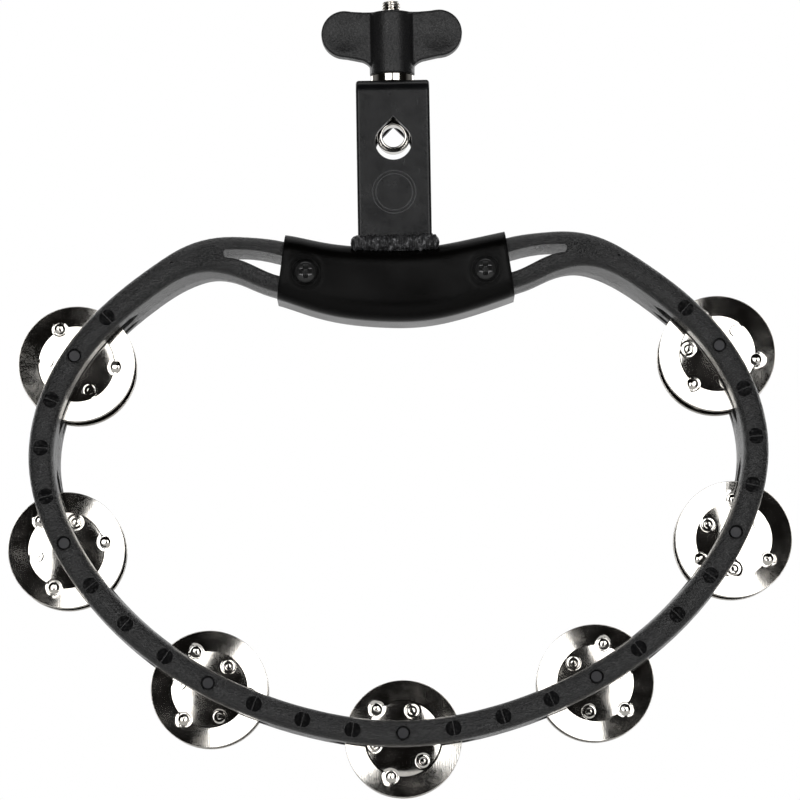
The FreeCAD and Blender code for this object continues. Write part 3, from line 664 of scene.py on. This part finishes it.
def make_screw(x, seat, z):
    """One pan-head screw, its head's underside at distance seat in front of the middle plane."""
    profile = [(r * MM, h * MM) for r, h in SCREW_PROFILE]
    screw = add_object("screw", lathe("screw", profile, Vector((x, -seat, z)) * MM, (0, -1, 0)))
    cutter = add_object("cutter", cross_cutter(x, -seat - CROSS_DEPTH, z))
    cut = screw.modifiers.new("recess", "BOOLEAN")
    cut.operation = "DIFFERENCE"
    cut.object = cutter
    cut.solver = "EXACT"
    cut.use_self = True
    apply_modifiers(screw)
    bpy.data.objects.remove(cutter)
    return screw


def make_screws():
    """Two pan-head screws with cross recesses, in the sleeve's dimples."""
    low, high = (np.array(corner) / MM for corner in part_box("handle_screws"))
    z, seat = (low[2] + high[2]) / 2, -low[1] - SCREW_HEAD_HEIGHT
    pair = make_screw(low[0] + SCREW_HEAD_RADIUS, seat, z)
    other = make_screw(high[0] - SCREW_HEAD_RADIUS, seat, z)
    join_mesh(pair, other.data.copy())
    bpy.data.objects.remove(other)
    pair.name = "screw_pair"
    shade_smooth(pair.data, 35)
    finish_as(pair, "black_screw")
    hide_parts("handle_screws")
    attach(pair, "frame")


def make_wing_nut():
    """The wing nut with the soft blends of a moulding between hub and wings."""
    nut = add_object("wing_nut_moulding", NODES["wing_nut"].data.copy())
    weld_vertices(nut.data)
    remesh = nut.modifiers.new("remesh", "REMESH")
    remesh.mode = "VOXEL"
    remesh.voxel_size = 0.42 * MM
    soften = nut.modifiers.new("soften", "SMOOTH")
    soften.factor = 0.5
    soften.iterations = 14
    apply_modifiers(nut)
    shade_smooth(nut.data)
    finish_as(nut, "wing_plastic")
    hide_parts("wing_nut")
    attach(nut, "wing_nut")


# ---- Studio ---------------------------------------------------------------------------------------------------

# Metres and degrees
VIEW_TARGET = Vector((0.001, -0.024, -0.11775))
VIEW_DISTANCE = 1.898
VIEW_ELEVATION = math.radians(-6.4)
VIEW_ROLL = math.radians(0.95)
RING_MIDDLE = Vector((0, 0, -0.11))
FLOOR_HEIGHT = -0.42
FLOOR_HALF_SIZE = 1.0
ROOM_DARK = (0.004, 0.0036, 0.0032)
ROOM_WALLS = (0.16, 0.16, 0.16)
ROOM_BACKDROP = (0.75, 0.75, 0.75)
# Azimuth 0 is the camera's side. Name, azimuth, elevation, distance, width, height, radiance, roll
LIGHTS = (
    ("left_box", -22.9, 7, 2.18, 1.2, 1.4, 3.0, -17.0),
    ("right_box", 22.1, 7, 2.18, 1.2, 1.4, 3.0, 17.0),
    ("bounce_card", 0, -58, 0.9, 1.0, 0.5, 1.6, 0.0),
    ("top_box", 180, 76, 1.5, 1.6, 1.2, 1.0, 0.0),
    ("rear_left_box", -141, 18, 2.1, 0.9, 1.2, 2.0, 0.0),
    ("rear_right_box", 141, 18, 2.1, 0.9, 1.2, 2.0, 0.0),
)


def make_camera():
    """The photographer stands in front and a little below, with a long lens."""
    data = bpy.data.cameras.new("camera")
    data.lens = 200
    data.sensor_width = 36
    data.clip_start = 0.05
    data.clip_end = 20
    camera = add_object("camera", data)
    back = Vector((0, -math.cos(VIEW_ELEVATION), math.sin(VIEW_ELEVATION)))
    camera.location = VIEW_TARGET + back * VIEW_DISTANCE
    upright = (-back).to_track_quat("-Z", "Y").to_matrix()
    camera.rotation_euler = (upright @ Matrix.Rotation(-VIEW_ROLL, 3, "Z")).to_euler()
    bpy.context.scene.camera = camera


def softbox(name, azimuth, elevation, distance, width, height, radiance, roll):
    """A rectangular soft light aimed at the middle of the ring."""
    data = bpy.data.lights.new(name, "AREA")
    data.shape = "RECTANGLE"
    data.size = width
    data.size_y = height
    data.energy = radiance * math.pi * width * height
    light = add_object(name, data)
    a, e = math.radians(azimuth), math.radians(elevation)
    away = Vector((math.sin(a) * math.cos(e), -math.cos(a) * math.cos(e), math.sin(e)))
    light.location = RING_MIDDLE + away * distance
    upright = away.to_track_quat("Z", "Y").to_matrix()
    light.rotation_euler = (upright @ Matrix.Rotation(math.radians(roll), 3, "Z")).to_euler()
    light.visible_camera = False


def make_world():
    """White to the camera; to everything else a dark room in front, grey walls and a pale backdrop behind."""
    world = bpy.data.worlds.new("room")
    bpy.context.scene.world = world
    world.use_nodes = True
    tree = world.node_tree
    tree.nodes.clear()
    output = tree.nodes.new("ShaderNodeOutputWorld")
    mixed = tree.nodes.new("ShaderNodeMixShader")
    seen = tree.nodes.new("ShaderNodeBackground")
    room = tree.nodes.new("ShaderNodeBackground")
    ray = tree.nodes.new("ShaderNodeLightPath")
    seen.inputs["Color"].default_value = (1, 1, 1, 1)
    heading = tree.nodes.new("ShaderNodeSeparateXYZ")
    tree.links.new(tree.nodes.new("ShaderNodeTexCoord").outputs["Generated"], heading.inputs["Vector"])
    behind = ramp(tree, heading.outputs["Y"], 0.66, 0.84)
    beside = ramp(tree, heading.outputs["Y"], -0.25, 0.2)
    walls = mix_colour(tree, beside, ROOM_DARK, ROOM_WALLS)
    tree.links.new(mix_colour(tree, behind, walls, ROOM_BACKDROP), room.inputs["Color"])
    tree.links.new(ray.outputs["Is Camera Ray"], mixed.inputs["Fac"])
    tree.links.new(room.outputs["Background"], mixed.inputs[1])
    tree.links.new(seen.outputs["Background"], mixed.inputs[2])
    tree.links.new(mixed.outputs["Shader"], output.inputs["Surface"])


def make_floor():
    """Plain pale floor under the object."""
    bm = bmesh.new()
    bmesh.ops.create_grid(bm, x_segments=1, y_segments=1, size=FLOOR_HALF_SIZE)
    mesh = bpy.data.meshes.new("floor")
    bm.to_mesh(mesh)
    bm.free()
    floor = add_object("floor", mesh)
    floor.location.z = FLOOR_HEIGHT
    material, tree, shader = new_material("pale_floor")
    where = object_coordinates(tree)
    cloud = noise_value(tree, where, 2.0)
    tree.links.new(mix_colour(tree, cloud, (0.86, 0.86, 0.86), (0.9, 0.9, 0.89)), shader.inputs["Base Color"])
    shader.inputs["Roughness"].default_value = 0.7
    mesh.materials.append(material)


def make_studio():
    make_camera()
    make_world()
    make_floor()
    for light in LIGHTS:
        softbox(*light)
    bpy.context.scene.view_settings.view_transform = "Standard"


dress_cad_nodes()
make_jingles()
make_eye_bolt()
make_welds()
make_screws()
make_wing_nut()
make_studio()
